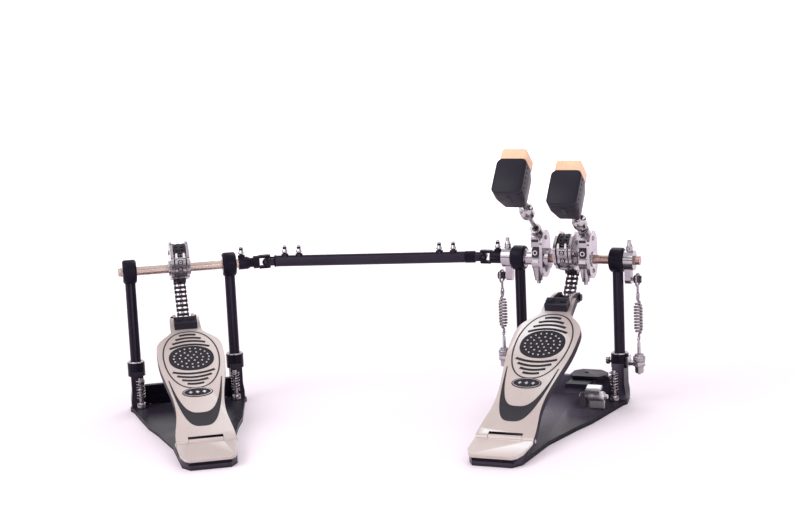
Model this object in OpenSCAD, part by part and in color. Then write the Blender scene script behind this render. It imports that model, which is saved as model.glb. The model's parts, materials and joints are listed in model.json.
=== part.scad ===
// Double bass drum pedal: a master pedal with two beaters, a slave pedal and the drive rod between them.
// Millimetres. +X along the cam shaft to the drummer's right, +Y towards the drum, +Z up.
// The origin is on the floor, under the middle of the master pedal's cam shaft.

/* [Pedal] */
// Height of the cam shaft above the floor
shaft_z = 176; // [170:1:182]
// Distance between the centres of the two posts
post_gap = 124; // [122:1:126]
// Diameter of a post
post_d = 13; // [11:0.5:14]
// Diameter of the cam shaft
shaft_d = 11; // [10:0.5:12]
// Diameter of a bearing housing
housing_d = 30; // [26:1:32]
// Slope of the footboard at rest, in degrees
board_slope = 26.5; // [25.5:0.1:27]
// Slope of the slave pedal's footboard at rest, in degrees
slave_slope = 22.4; // [22:0.1:23]
// Length of the footboard from its hinge to its toe
board_len = 249; // [245:1:252]

/* [Chain] */
// Pitch of the duplex chain
pitch = 6.35; // [6:0.05:6.6]
// Width of the duplex chain
chain_w = 14.6; // [12:0.1:15]
// Angle on the sprocket at which the chain leaves it at rest, from straight down towards the drum
leave_angle = 52; // [50:1:54]

/* [Beaters] */
// Lean of the beater rods back from upright, in degrees
rod_lean = 51; // [48:1:54]
// Distance of the beater rods in front of the shaft axis, across the rod
rod_offset = 21; // [18:1:23]
// Height of the right beater's top above the shaft, along its rod
right_top = 132; // [125:1:145]
// Height of the left beater's top above the shaft, along its rod
left_top = 157; // [145:1:165]
// Width of a beater head
head_w = 37; // [32:1:40]

/* [Slave pedal] */
// Turn of the slave pedal about the vertical, in degrees
slave_turn = 33.8; // [30:0.1:36]
// Distance of the slave pedal to the drummer's left
slave_left = 465; // [450:1:500]
// Distance of the slave pedal back from the drum
slave_back = 132; // [120:1:150]

/* [Springs] */
// Diameter of a return spring
spring_d = 11.5; // [9:0.5:12]
// Distance of a return spring's line from the middle of the pedal
spring_x = 86; // [85:0.5:87]

/* [Hidden] */
$fn = 64;
post_x = post_gap / 2;
rubber_t = 2.5;
plate_t = 3;
deck_z = rubber_t + plate_t;
fit = 0.05;
collar_d = 21.5;

// Wing screw of the hoop clamp
screw_y = -56;
screw_z = 20.5;
screw_d = 6;

// Outline of the base, right half, from the heel to the rear
base_half = [[23, -298], [31, -284], [35, -205], [48, -140], [57, -105], [60, -84], [70, -16],
             [73, -10], [68, 20]];

// Top of the heel plate, which slopes up towards the hinge
heel_t = 3.5;
function heel_z(y) = 19.5 + (y + 257) * 0.155;

// Heel hinge
hinge_y = -251;
hinge_z = 18;
knuckle_d = 10;
pin_d = 5;
tongue_x = 19.5;

// Footboard: stations of [distance from the hinge, half width, how late the width changes]
board_stations = [[-2, 34, 1], [56, 28.5, 1], [165, 40, 1], [220, 18.5, 2.3], [board_len, 18, 1]];
board_top = 5;
board_t = 4;
skirt_depth = 9;
skirt_w = 3;

// Sprocket and chain: the pitch circle has sprocket_n links
sprocket_n = 28;
link_angle = 360 / sprocket_n;
pitch_r = pitch / (2 * sin(180 / sprocket_n));
link_t = 4.6;
drum_r = pitch_r - link_t / 2 - 1.3;
flange_x0 = 8;
flange_x1 = 11.5;
// Flange radius at angles from straight down towards the drum: large where the chain lies, small below
flange_table = [[0, 13.6], [30, 18], [60, 33], [195, 33], [236, 31], [270, 23.5], [300, 17], [330, 13.6],
                [360, 13.6]];
// Links of chain that hang free at each pedal
free_links = 6;
slave_free_links = 9;
free_top = on_pitch(leave_angle);
function chain_pin(links) = [free_top[0] - links * pitch * cos(leave_angle),
                             free_top[1] - links * pitch * sin(leave_angle)];
wrap_start = leave_angle + 6 * link_angle;
wrap_end = leave_angle + 13.5 * link_angle;
clevis_pin_d = 4;
clevis_hole_d = 7.6;
ear_x0 = 9.8;
ear_x1 = 13.3;

// Beaters
rod_d = 6;
left_x = -35.5;
right_x = 24.2;
hub_half = 7.2;
head_back = 22;
head_front = 25;
felt_t = 15;
head_h = 40;

// Rocker, hook and return spring
rocker_arm = 23;
roller_d = 8.4;
eye_z = 80;
coil_z0 = 86;
coil_z1 = 126;
wire_d = 1.9;

// Drive rod
joint_slave_x = 110;
joint_master_x = -109;
joint_gap = 10;
ear_in = 4.9;
ear_out = 8.2;
ear_r = 4.5;
cross_pin_d = 3.7;
tube_d = 14;
stub_d = 9;
tube_start = 12.4;
tube_end = 23.4;
slave_joint = [-slave_left + joint_slave_x * cos(slave_turn), -slave_back + joint_slave_x * sin(slave_turn)];
rod_run = [joint_master_x - slave_joint[0], -slave_joint[1]];
rod_angle = atan2(rod_run[1], rod_run[0]);
rod_len = norm(rod_run);

// ---- helpers ----

// A point [y, z] on the chain's pitch circle, at an angle from straight down towards the drum
function on_pitch(a) = [pitch_r * sin(a), shaft_z - pitch_r * cos(a)];

// A point on a circle about the shaft, at the same kind of angle
function about_shaft(r, a) = [r * sin(a), shaft_z - r * cos(a)];

// Half width of the footboard at a distance s from its hinge
function ease(t) = (1 - cos(180 * t)) / 2;
function station(s, i = 0) =
    (i >= len(board_stations) - 2 || s < board_stations[i + 1][0]) ? i : station(s, i + 1);
function board_half(s) =
    let (a = board_stations[station(s)], b = board_stations[station(s) + 1])
    a[1] + (b[1] - a[1]) * ease(pow((s - a[0]) / (b[0] - a[0]), b[2]));

// A vector in (y, z) as seen from a board of the given slope
function rotate_by(slope, y, z) = [cos(slope) * y + sin(slope) * z, cos(slope) * z - sin(slope) * y];

// Puts a profile drawn in (y, z) between two x positions
module along_x(x0, x1) {
    translate([x0, 0, 0]) rotate([90, 0, 90]) linear_extrude(x1 - x0) children();
}

// A cylinder along X
module x_rod(d, x0, x1, y = 0, z = 0) {
    translate([x0, y, z]) rotate([0, 90, 0]) cylinder(d = d, h = x1 - x0);
}

// Left and right copies
module both_sides() {
    children();
    mirror([1, 0, 0]) children();
}

// The slave pedal's place, and its share of the shared pedal parts
module at_slave() {
    translate([-slave_left, -slave_back, 0]) rotate([0, 0, slave_turn]) children();
}

// The footboard's own frame: X across, Y up the board from the hinge, Z out of its face
module on_board(slope) {
    translate([0, hinge_y, hinge_z]) rotate([slope, 0, 0]) children();
}

// The beater's own frame: Z along the rod, Y towards the drum at the strike
module on_beater() {
    translate([0, 0, shaft_z]) rotate([rod_lean, 0, 0]) children();
}

// The drive rod's own frame: X along the rod from the slave joint to the master joint
module on_rod() {
    translate([slave_joint[0], slave_joint[1], shaft_z]) rotate([0, 0, rod_angle]) children();
}

// ---- parts that both pedals have ----

module base_outline() {
    left = [for (i = [len(base_half) - 1 : -1 : 0]) [-base_half[i][0], base_half[i][1]]];
    polygon(concat(base_half, left));
}

module base_rubber() {
    color("#241f24") linear_extrude(rubber_t) base_outline();
}

// Base plate with the block under the heel plate. The master's also has a low pad for the drum's hoop.
module base_plate(hoop_pad = false) {
    color("#2b2530") {
        translate([0, 0, rubber_t]) linear_extrude(plate_t) base_outline();
        intersection() {
            translate([0, 0, deck_z - 1]) linear_extrude(20) base_outline();
            along_x(-32, 32) polygon([[-297, deck_z - 1], [-297, heel_z(-297) - heel_t],
                                      [-258, heel_z(-258) - heel_t], [-258, deck_z - 1]]);
        }
        if (hoop_pad) translate([4, 9.5, deck_z - 1]) cube([40, 10, 2]);
    }
}

// Post sockets with round collars, joined by the rear wall
module frame() {
    socket_half = 7.5;
    wall_top = 30;
    color("#241f2b") {
        both_sides() difference() {
            union() {
                translate([0, 10, 0]) rotate([90, 0, 0]) linear_extrude(21)
                    polygon([[post_x - socket_half, deck_z], [post_x - socket_half, 50],
                             [post_x + socket_half, 50], [post_x + socket_half, 24],
                             [post_x + 9, 14], [post_x + 9, deck_z]]);
                translate([post_x, 0, 44]) cylinder(d = collar_d, h = 17);
            }
            translate([post_x, 0, 12]) cylinder(d = post_d, h = 60);
        }
        translate([-post_x + socket_half, 0, deck_z])
            cube([post_gap - 2 * socket_half, 8, wall_top - deck_z]);
    }
}

module posts() {
    color("#1f1b26") both_sides() difference() {
        translate([post_x, 0, 12]) cylinder(d = post_d, h = shaft_z - 12);
        x_rod(housing_d, 0, 2 * post_x, 0, shaft_z);
    }
}

// Round housings on the posts, each with a bore for its bearing
module bearing_housings() {
    housing_l = 17;
    chamfer = 2;
    r = housing_d / 2;
    color("#1c1822") both_sides() translate([post_x - housing_l / 2, 0, shaft_z])
        rotate([0, 90, 0]) rotate_extrude()
            polygon([[11, 0], [r - chamfer, 0], [r, chamfer], [r, housing_l - chamfer],
                     [r - chamfer, housing_l], [11, housing_l]]);
}

module bearings() {
    bearing_w = 7;
    color("silver") both_sides() translate([post_x - bearing_w / 2, 0, shaft_z]) rotate([0, 90, 0])
        difference() {
            cylinder(r = 11, h = bearing_w);
            translate([0, 0, -1]) cylinder(d = shaft_d + 2 * fit, h = bearing_w + 2);
        }
}

module heel_plate() {
    front_y = -299;
    rear_y = hinge_y - knuckle_d / 2 - 1;
    color("#c9bcb8") difference() {
        union() {
            intersection() {
                linear_extrude(25)
                    polygon([[-34, rear_y], [-32, front_y + 14], [-28, front_y + 4], [-23, front_y],
                             [23, front_y], [28, front_y + 4], [32, front_y + 14], [34, rear_y]]);
                along_x(-36, 36)
                    polygon([[front_y - 1, heel_z(front_y - 1) - heel_t],
                             [front_y - 1, heel_z(front_y - 1) - 1], [front_y + 2, heel_z(front_y + 2)],
                             [rear_y, heel_z(rear_y)], [rear_y, heel_z(rear_y) - heel_t]]);
            }
            translate([-tongue_x, rear_y - 1, hinge_z - 2]) cube([2 * tongue_x, 7, 3.4]);
            x_rod(knuckle_d, -tongue_x, tongue_x, hinge_y, hinge_z);
        }
        x_rod(pin_d, -40, 40, hinge_y, hinge_z);
    }
}

module heel_pin() {
    color("silver") x_rod(pin_d, -35, 35, hinge_y, hinge_z);
}

module board_shape(inset = 0) {
    s0 = inset == 0 ? 0 : 14;
    s1 = board_len - inset;
    stops = [for (i = [0 : 40]) s0 + (s1 - s0) * i / 40];
    polygon(concat([for (s = stops) [board_half(s) - inset, s]],
                   [for (i = [40 : -1 : 0]) [inset - board_half(stops[i]), stops[i]]]));
}

// Footboard: slab, skirt, hinge knuckles and the two ears that hold the chain's pin
module footboard(slope, links) {
    pin = chain_pin(links);
    pin_s = cos(slope) * (pin[0] - hinge_y) + sin(slope) * (pin[1] - hinge_z);
    pin_n = cos(slope) * (pin[1] - hinge_z) - sin(slope) * (pin[0] - hinge_y);
    hole = rotate_by(slope, 0.983, -0.515);
    color("#c9bcb8") on_board(slope) difference() {
        union() {
            translate([0, 0, board_top - board_t]) linear_extrude(board_t) board_shape();
            translate([0, 0, board_top - skirt_depth]) linear_extrude(skirt_depth - board_t)
                difference() {
                    board_shape();
                    board_shape(skirt_w);
                }
            both_sides() x_rod(knuckle_d, tongue_x + 0.4, 34);
            both_sides() along_x(ear_x0, ear_x1)
                if (pin_n < -8)
                    polygon([[236, board_top - skirt_depth], [238, board_top], [249, board_top + 2],
                             [pin_s - 8, pin_n + 13], [pin_s + 5, pin_n + 4], [pin_s + 1, pin_n - 6.1],
                             [pin_s - 6, pin_n - 3], [252, -9]]);
                else
                    polygon([[236, board_top - skirt_depth], [238, board_top], [248, board_top + 1.5],
                             [pin_s - 1, pin_n + 6.1], [pin_s + 2, pin_n - 5.8], [pin_s - 5, pin_n - 3.6]]);
            both_sides() x_rod(12.4, ear_x0, ear_x1, pin_s, pin_n);
        }
        both_sides() x_rod(pin_d + 2 * fit, tongue_x - 1, 40);
        translate([-tongue_x - 0.4, -8, -8]) cube([2 * tongue_x + 0.8, 14.2, 20]);
        x_rod(clevis_hole_d, -20, 20, pin_s + hole[0], pin_n + hole[1]);
    }
}

module toe_clamp(slope) {
    color("#1c1822") on_board(slope) {
        along_x(-14, 14) polygon([[222, board_top], [223.5, 14], [237.5, 14], [237.5, board_top]]);
        both_sides() x_rod(6, 4, 11, 232, 14);
    }
}

function flange_r(a, i = 0) =
    a > flange_table[i + 1][0] ? flange_r(a, i + 1) :
    let (p = flange_table[i], q = flange_table[i + 1])
    p[1] + (q[1] - p[1]) * ease((a - p[0]) / (q[0] - p[0]));

// Cam-shaped flange: large where the chain lies, small below
module flange_shape() {
    polygon([for (a = [0 : 5 : 355]) about_shaft(flange_r(a), a)]);
}

// The block that holds the chain's end follows the flanges' edge
module anchor_shape() {
    a0 = wrap_end + 10;
    a1 = wrap_end + 52;
    polygon(concat([for (i = [0 : 12]) let (a = a0 + (a1 - a0) * i / 12) about_shaft(flange_r(a) - 1.2, a)],
                   [for (i = [12 : -1 : 0]) about_shaft(12, a0 + (a1 - a0) * i / 12)]));
}

module ring_sector(r0, r1, a0, a1, steps = 16) {
    polygon(concat([for (i = [0 : steps]) about_shaft(r1, a0 + (a1 - a0) * i / steps)],
                   [for (i = [steps : -1 : 0]) about_shaft(r0, a0 + (a1 - a0) * i / steps)]));
}

module sprocket() {
    color("#cfc7cf") difference() {
        union() {
            both_sides() along_x(flange_x0, flange_x1) flange_shape();
            along_x(-flange_x0, flange_x0) ring_sector(12, drum_r, leave_angle - 22, wrap_end + 8, 24);
            along_x(-6.5, 6.5) anchor_shape();
            x_rod(26, -flange_x0, flange_x0, 0, shaft_z);
        }
        x_rod(shaft_d, -20, 20, 0, shaft_z);
    }
}

// One stretch of chain in its own frame: from the pin at its start, along +Y
module chain_stretch(length, end_pin = 2) {
    w = chain_w / 2;
    gap = 0.25;
    difference() {
        union() {
            along_x(-w, w) translate([3, -link_t / 2]) square([length - 6, link_t]);
            both_sides() along_x(1.6 + gap, w - 2 - gap) {
                translate([0, -link_t / 2]) square([3, link_t]);
                circle(d = link_t);
            }
            both_sides() chain_tab(w - 2, w, length);
            chain_tab(-1.6, 1.6, length);
            x_rod(2, -w, w);
        }
        x_rod(end_pin + 2 * fit, -w - 1, w + 1, length);
    }
}

module chain_tab(x0, x1, at) {
    along_x(x0, x1) {
        translate([at - 3, -link_t / 2]) square([3, link_t]);
        translate([at, 0]) circle(d = link_t);
    }
}

// Puts a stretch of chain between the sprocket angles a1 (start) and a0 (end)
module on_sprocket(a1, a0) {
    start = on_pitch(a1);
    translate([0, start[0], start[1]]) rotate([(a0 + a1) / 2 + 180, 0, 0]) children();
}

module chain_pair(first) {
    a1 = leave_angle + (first + 2) * link_angle;
    a0 = leave_angle + first * link_angle;
    color("#2c2830") on_sprocket(a1, a0) chain_stretch(2 * pitch_r * sin(link_angle));
}

// The stretch that stays on the sprocket, fixed to it
module chain_wrap() {
    w = chain_w / 2;
    start = on_pitch(wrap_start);
    color("#2c2830") difference() {
        union() {
            along_x(-w, w) ring_sector(pitch_r - link_t / 2, pitch_r + link_t / 2,
                                       wrap_start + 6.5, wrap_end);
            translate([0, start[0], start[1]]) rotate([wrap_start + 3, 0, 0]) {
                both_sides() chain_root(w - 2, w);
                chain_root(-1.6, 1.6);
            }
        }
        x_rod(2 + 2 * fit, -w - 1, w + 1, start[0], start[1]);
    }
}

module chain_root(x0, x1) {
    along_x(x0, x1) {
        translate([0, -1.9]) square([4.2, 3.8]);
        circle(d = 3.8);
    }
}

// The stretch that hangs free, with the clevis pin at its lower end
module chain_free(links) {
    free_len = links * pitch;
    w = chain_w / 2;
    color("#2c2830") translate([0, free_top[0], free_top[1]])
        rotate([leave_angle + 180, 0, 0]) {
            along_x(-w, w) translate([3, -link_t / 2]) square([free_len - 3, link_t]);
            both_sides() along_x(1.85, w - 2.25) {
                translate([0, -link_t / 2]) square([3, link_t]);
                circle(d = link_t);
            }
            x_rod(2, -w, w);
            x_rod(clevis_pin_d, -16, 16, free_len);
            both_sides() x_rod(8.6, ear_x1 + 0.4, 16.2, free_len);
        }
}

// Floor spurs in front of the post sockets, each with its anti-rattle spring
module spurs() {
    color("silver") both_sides() translate([post_x - 3, -18, deck_z]) {
        cylinder(d = 6, h = 39);
        cylinder(d = 12, h = 8);
        translate([0, 0, 11]) cylinder(d = 11.6, h = 25);
    }
}

// ---- shafts, hubs and beaters ----

module master_shaft() {
    color("#a9776a") x_rod(shaft_d, -51, 90, 0, shaft_z);
}

module slave_shaft() {
    color("#b39a80") x_rod(shaft_d, -73, 81.5, 0, shaft_z);
    color("silver") x_rod(10, -76, -73, 0, shaft_z);
}

// Hub that clamps a beater rod: upper block with the rod's boss, round body, oval side plate, and the
// tapered body below with its screw
module beater_hub(x) {
    plate_x = x + hub_half - 3.4;
    difference() {
        union() {
            along_x(x - hub_half, plate_x)
                polygon([[-14, 192], [-14, 204], [-4, 214], [12, 206], [22, 188], [13, 172], [0, 170], [-6, 188]]);
            x_rod(29, x - hub_half, plate_x, 0, shaft_z);
            along_x(plate_x, x + hub_half) translate([2.5, shaft_z + 5.5]) {
                translate([0, 11.7]) circle(r = 17.5);
                translate([0, -11.7]) circle(r = 17.5);
                translate([-17.5, -11.7]) square([35, 23.4]);
            }
            translate([x - 1.6, -3, 149]) cylinder(d1 = 9, d2 = 15, h = 17);
            translate([x - 1.6, -3, 146.4]) cylinder(d = 5, h = 3);
            on_beater() translate([x, rod_offset, 12]) cylinder(d = 14, h = 24.5);
        }
        on_beater() translate([x, rod_offset, -30]) cylinder(d = rod_d + 2 * fit, h = 90);
        children();
    }
}

module right_hub() {
    color("#cfc7cf") beater_hub(right_x) x_rod(shaft_d, 0, 60, 0, shaft_z);
}

// The left hub turns on the master shaft, and its hollow stub runs in the left bearing
module left_hub() {
    bore_end = -52;
    color("#cfc7cf") {
        beater_hub(left_x) x_rod(shaft_d + 2 * fit, bore_end, 0, 0, shaft_z);
        difference() {
            x_rod(18, -53.2, left_x - hub_half, 0, shaft_z);
            x_rod(shaft_d + 2 * fit, bore_end, 0, 0, shaft_z);
        }
        x_rod(shaft_d, -90, -53.2, 0, shaft_z);
        difference() {
            x_rod(25, left_x + hub_half, left_x + hub_half + 6, 0, shaft_z);
            x_rod(shaft_d + 2 * fit, bore_end, 0, 0, shaft_z);
        }
    }
}

module beater_rod(x, top, collar) {
    color("#d8d2d6") on_beater() translate([x, rod_offset, 0]) {
        translate([0, 0, 4]) cylinder(d = rod_d, h = top - head_h / 2 - 4);
        translate([0, 0, collar - 10]) rotate_extrude()
            polygon([[0, 0], [6, 0], [9, 5], [9, 15], [6, 20], [0, 20]]);
    }
}

// Plastic shell of a beater head: a block that narrows towards the rod
module beater_shell(x, top) {
    low_h = head_h / 2;
    color("#221e28") on_beater() translate([x, rod_offset, top]) difference() {
        union() {
            translate([-head_w / 2, -head_back, -low_h]) cube([head_w, head_back + head_front, low_h]);
            translate([0, 0, -head_h]) along_y(-head_back, head_front)
                polygon([[-14, 0], [14, 0], [head_w / 2, low_h], [-head_w / 2, low_h]]);
        }
        translate([0, 0, -head_h - 1]) cylinder(d = rod_d, h = head_h / 2 + 1);
    }
}

module along_y(y0, y1) {
    translate([0, y1, 0]) rotate([90, 0, 0]) linear_extrude(y1 - y0) children();
}

module beater_felt(x, top) {
    w = head_w - 4;
    color("#f2c79d") on_beater() translate([x - w / 2, rod_offset + head_front, top - head_h + 3])
        cube([w, felt_t, head_h - 4]);
}

// ---- rockers, hooks and return springs, drawn for the right side ----

module rocker() {
    arm_z = shaft_z - rocker_arm;
    color("#cfc7cf") difference() {
        union() {
            x_rod(24, 71.5, 83, 0, shaft_z);
            along_x(71.5, 79) translate([-6, arm_z]) square([12, rocker_arm]);
            x_rod(12, 71.5, 79, 0, arm_z);
            x_rod(4, 79, 91, 0, arm_z);
            x_rod(roller_d, 82, 90, 0, arm_z);
            translate([77, 0, shaft_z + 8]) cylinder(d = 8, h = 9);
            translate([77, 0, shaft_z + 17]) cylinder(d = 5, h = 7);
        }
        x_rod(shaft_d, 60, 95, 0, shaft_z);
    }
}

// Flat link that hangs on the roller and carries the top of the spring
module hook() {
    arm_z = shaft_z - rocker_arm;
    top = arm_z + roller_d / 2 + 0.5;
    foot = arm_z - roller_d / 2 - 3.4;
    half = roller_d / 2 + 2.3;
    x0 = spring_x - 1.5;
    color("silver") {
        along_x(x0, x0 + 3) difference() {
            translate([-half - 2, foot - 2.5]) square([2 * half + 4, top - foot + 5]);
            translate([-half, foot]) square([2 * half, top - foot]);
        }
        along_x(x0, x0 + 3) translate([-1.5, 136]) square([3, foot - 2.5 - 136]);
        along_x(x0, x0 + 2.4) translate([0, 132]) difference() {
            circle(d = 11);
            circle(d = 6.6);
        }
    }
}

module coil() {
    color("silver") translate([spring_x, 0, coil_z0]) difference() {
        cylinder(d = spring_d, h = coil_z1 - coil_z0);
        translate([0, 0, -1]) cylinder(d = spring_d - 2 * wire_d, h = coil_z1 - coil_z0 + 2);
    }
}

// Threaded eye bolts, their nuts and brackets on the post sockets, and the hoop clamp screw's support
module spring_anchors() {
    color("silver") both_sides() {
        difference() {
            translate([post_x + 8.5, -6, 48]) cube([spring_x - post_x - 1.5, 12, 4]);
            translate([spring_x, 0, 40]) cylinder(d = 4, h = 20);
            translate([post_x, 0, 40]) cylinder(d = collar_d + 2 * fit, h = 20);
        }
        translate([spring_x, 0, 36]) cylinder(d = 4, h = 41);
        translate([spring_x, 0, 52]) difference() {
            cylinder(d = 15, h = 8);
            translate([0, 0, -1]) cylinder(d = 4, h = 10);
        }
        translate([spring_x, 0, 38]) difference() {
            cylinder(d = 11, h = 10);
            translate([0, 0, -1]) cylinder(d = 4, h = 12);
        }
        along_x(spring_x - 1.2, spring_x + 1.2) translate([0, eye_z]) difference() {
            circle(d = 9);
            circle(d = 4.6);
        }
    }
    color("silver") along_x(29, 35) difference() {
        translate([screw_y - 5, deck_z]) square([10, screw_z + 5 - deck_z]);
        translate([screw_y, screw_z]) circle(d = screw_d + 2 * fit);
    }
}

// ---- hoop clamp ----

// Jaw: a plate over the hoop seat with a block in front of the rear wall
module hoop_jaw() {
    color("#221e28") {
        translate([0, 0, 31]) linear_extrude(4) difference() {
            polygon([[2, -10], [8, -20], [40, -20], [46, -10], [46, 4], [34, 17], [10, 17], [2, 8]]);
            translate([20, 0]) circle(d = 7, $fn = 4);
        }
        along_x(6, 34) polygon([[-48, 20], [-48, 27], [-44, 31], [-19, 31], [-8, 31.5], [-8, 20]]);
    }
}

// Wing screw: its axis lies along X. One wing stands straight, the other is bent over into a flat top.
module hoop_screw() {
    color("silver") {
        x_rod(screw_d, 27, 62, screw_y, screw_z);
        x_rod(13, 37.5, 58, screw_y, screw_z);
        along_x(40, 58) translate([screw_y, screw_z])
            polygon([[-3.5, 0], [-4, -13.8], [-1, -14.2], [2, -2]]);
        along_x(35.6, 53) translate([screw_y, screw_z])
            polygon([[-5, 3], [-6.5, 8], [7.5, 12.2], [8.8, 9.2], [1, 6], [2, 2]]);
    }
}

// ---- drive rod ----

// Yoke of a universal joint in the frame of its shaft: joint centre at 0, shaft towards -X.
// Its ears lie above and below the centre, or to the sides when across is true.
module yoke(hub_end, across = false, bore = cross_pin_d + 2 * fit, hub_d = 16) {
    rotate([across ? 90 : 0, 0, 0]) difference() {
        union() {
            both_ears() translate([-joint_gap, -ear_r, ear_in]) cube([joint_gap, 2 * ear_r, ear_out - ear_in]);
            both_ears() translate([0, 0, ear_in]) cylinder(r = ear_r, h = ear_out - ear_in);
            x_rod(hub_d, -hub_end, -joint_gap);
        }
        translate([0, 0, -20]) cylinder(d = bore, h = 40);
    }
}

module both_ears() {
    children();
    mirror([0, 0, 1]) children();
}

module cross() {
    color("#3a343e") {
        translate([-3.6, -3.6, -3.6]) cube(7.2);
        translate([0, 0, -7.9]) cylinder(d = cross_pin_d, h = 15.8);
        rotate([90, 0, 0]) translate([0, 0, -7.9]) cylinder(d = cross_pin_d, h = 15.8);
    }
}

module key_bolt() {
    cylinder(d = 9, h = 3);
    cylinder(d = 5, h = 12);
}

module slave_shaft_yoke() {
    hub_d = 16;
    neck_d = 12;
    color("#221e28") translate([joint_slave_x, 0, shaft_z]) difference() {
        union() {
            yoke(17);
            x_rod(neck_d, -25, -16);
            x_rod(hub_d, -36, -25);
            translate([-25, 0, 0]) rotate([0, 90, 0]) cylinder(d1 = hub_d, d2 = neck_d, h = 4);
            translate([78 - joint_slave_x, 0, 7.2]) key_bolt();
        }
        x_rod(shaft_d, -40, -28.45);
    }
}

module master_shaft_yoke() {
    color("#221e28") translate([joint_master_x, 0, shaft_z]) rotate([0, 0, 180]) difference() {
        union() {
            yoke(-joint_master_x - 84.2);
            translate([-joint_master_x - 128, 0, 7.2]) key_bolt();
        }
        x_rod(shaft_d, -30, joint_master_x + 90);
    }
}

module end_yoke(hub_end, stub_len) {
    color("#221e28") {
        rotate([0, 0, 180]) yoke(hub_end - 0.4, true, cross_pin_d + 1.6, 15);
        x_rod(stub_d, hub_end - 1, hub_end + stub_len);
    }
}

module drive_tube() {
    color("#1c1822") on_rod() {
        difference() {
            x_rod(tube_d, tube_start, rod_len - tube_end);
            x_rod(stub_d + 0.1, tube_start - 1, rod_len - tube_end + 1);
        }
        for (x = [23.5, 41.5, rod_len - 55, rod_len - 37.5])
            translate([x, 0, tube_d / 2 - 1]) key_bolt();
    }
}

// ---- nodes ----

base_plate(true);  // master_base_plate
base_rubber();  // master_base_rubber
frame();  // master_frame
posts();  // master_posts
bearing_housings();  // master_bearing_housings
bearings();  // master_bearings
heel_plate();  // master_heel_plate
heel_pin();  // master_heel_pin
footboard(board_slope, free_links);  // master_footboard
toe_clamp(board_slope);  // master_toe_clamp
sprocket();  // master_sprocket
master_shaft();
chain_wrap();  // master_chain_wrap
chain_pair(4);  // master_chain_upper
chain_pair(2);  // master_chain_middle
chain_pair(0);  // master_chain_lower
chain_free(free_links);  // master_chain_free
spurs();  // master_spurs
at_slave() base_plate();  // slave_base_plate
at_slave() base_rubber();  // slave_base_rubber
at_slave() frame();  // slave_frame
at_slave() posts();  // slave_posts
at_slave() bearing_housings();  // slave_bearing_housings
at_slave() bearings();  // slave_bearings
at_slave() heel_plate();  // slave_heel_plate
at_slave() heel_pin();  // slave_heel_pin
at_slave() footboard(slave_slope, slave_free_links);  // slave_footboard
at_slave() toe_clamp(slave_slope);  // slave_toe_clamp
at_slave() sprocket();  // slave_sprocket
at_slave() slave_shaft();
at_slave() chain_wrap();  // slave_chain_wrap
at_slave() chain_pair(4);  // slave_chain_upper
at_slave() chain_pair(2);  // slave_chain_middle
at_slave() chain_pair(0);  // slave_chain_lower
at_slave() chain_free(slave_free_links);  // slave_chain_free
at_slave() spurs();  // slave_spurs
right_hub();
beater_rod(right_x, right_top, 53);  // right_beater_rod
beater_shell(right_x, right_top);  // right_beater_shell
beater_felt(right_x, right_top);  // right_beater_felt
left_hub();
beater_rod(left_x, left_top, 76);  // left_beater_rod
beater_shell(left_x, left_top);  // left_beater_shell
beater_felt(left_x, left_top);  // left_beater_felt
rocker();  // right_rocker
mirror([1, 0, 0]) rocker();  // left_rocker
coil();  // right_spring
mirror([1, 0, 0]) coil();  // left_spring
hook();  // right_hook
mirror([1, 0, 0]) hook();  // left_hook
spring_anchors();
hoop_jaw();
hoop_screw();
drive_tube();
on_rod() end_yoke(tube_start, 60);  // slave_end_yoke
translate([joint_master_x, 0, shaft_z]) rotate([0, 0, rod_angle + 180])  // master_end_yoke
    end_yoke(tube_end, 95);
at_slave() slave_shaft_yoke();
master_shaft_yoke();
on_rod() cross();  // slave_cross
translate([joint_master_x, 0, shaft_z]) rotate([0, 0, rod_angle]) cross();  // master_cross
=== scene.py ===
"""Looks of the double bass drum pedal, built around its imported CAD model. Shapes are in millimetres."""
import json
import math

import bmesh
import bpy
from mathutils import Matrix, Vector


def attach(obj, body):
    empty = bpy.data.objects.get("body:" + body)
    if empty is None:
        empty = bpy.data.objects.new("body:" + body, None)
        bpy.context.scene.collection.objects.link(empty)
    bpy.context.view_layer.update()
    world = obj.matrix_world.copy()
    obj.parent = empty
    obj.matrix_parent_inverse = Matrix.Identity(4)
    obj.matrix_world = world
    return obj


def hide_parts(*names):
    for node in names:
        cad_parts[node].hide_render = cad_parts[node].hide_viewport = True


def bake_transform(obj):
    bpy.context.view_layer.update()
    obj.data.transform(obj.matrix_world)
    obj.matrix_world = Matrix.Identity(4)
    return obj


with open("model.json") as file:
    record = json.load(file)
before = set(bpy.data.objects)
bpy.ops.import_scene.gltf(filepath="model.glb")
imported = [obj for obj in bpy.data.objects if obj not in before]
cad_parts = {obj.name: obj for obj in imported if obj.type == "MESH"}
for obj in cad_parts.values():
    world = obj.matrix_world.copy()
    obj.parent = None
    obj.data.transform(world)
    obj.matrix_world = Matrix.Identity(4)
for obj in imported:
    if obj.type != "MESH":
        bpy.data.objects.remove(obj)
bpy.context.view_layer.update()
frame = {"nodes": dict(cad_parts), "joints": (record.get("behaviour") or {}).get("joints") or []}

MM = 0.001
JOINTS = {j["name"]: j for j in frame["joints"]}

# ---------------------------------------------------------------- places taken from the frame

X_AXIS, Z_AXIS = Vector((1, 0, 0)), Vector((0, 0, 1))


def joint_at(name):
    return Vector(JOINTS[name]["pos_m"])


def joint_axis(name):
    return Vector(JOINTS[name]["axis"])


def move(x=0, y=0, z=0):
    return Matrix.Translation((x * MM, y * MM, z * MM))


def turn(degrees, axis="X"):
    return Matrix.Rotation(math.radians(degrees), 4, axis)


def placed_along_x(point, direction):
    """A place at a point whose X axis is a level direction."""
    return Matrix.Translation(point) @ turn(math.degrees(math.atan2(direction.y, direction.x)), "Z")


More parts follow.
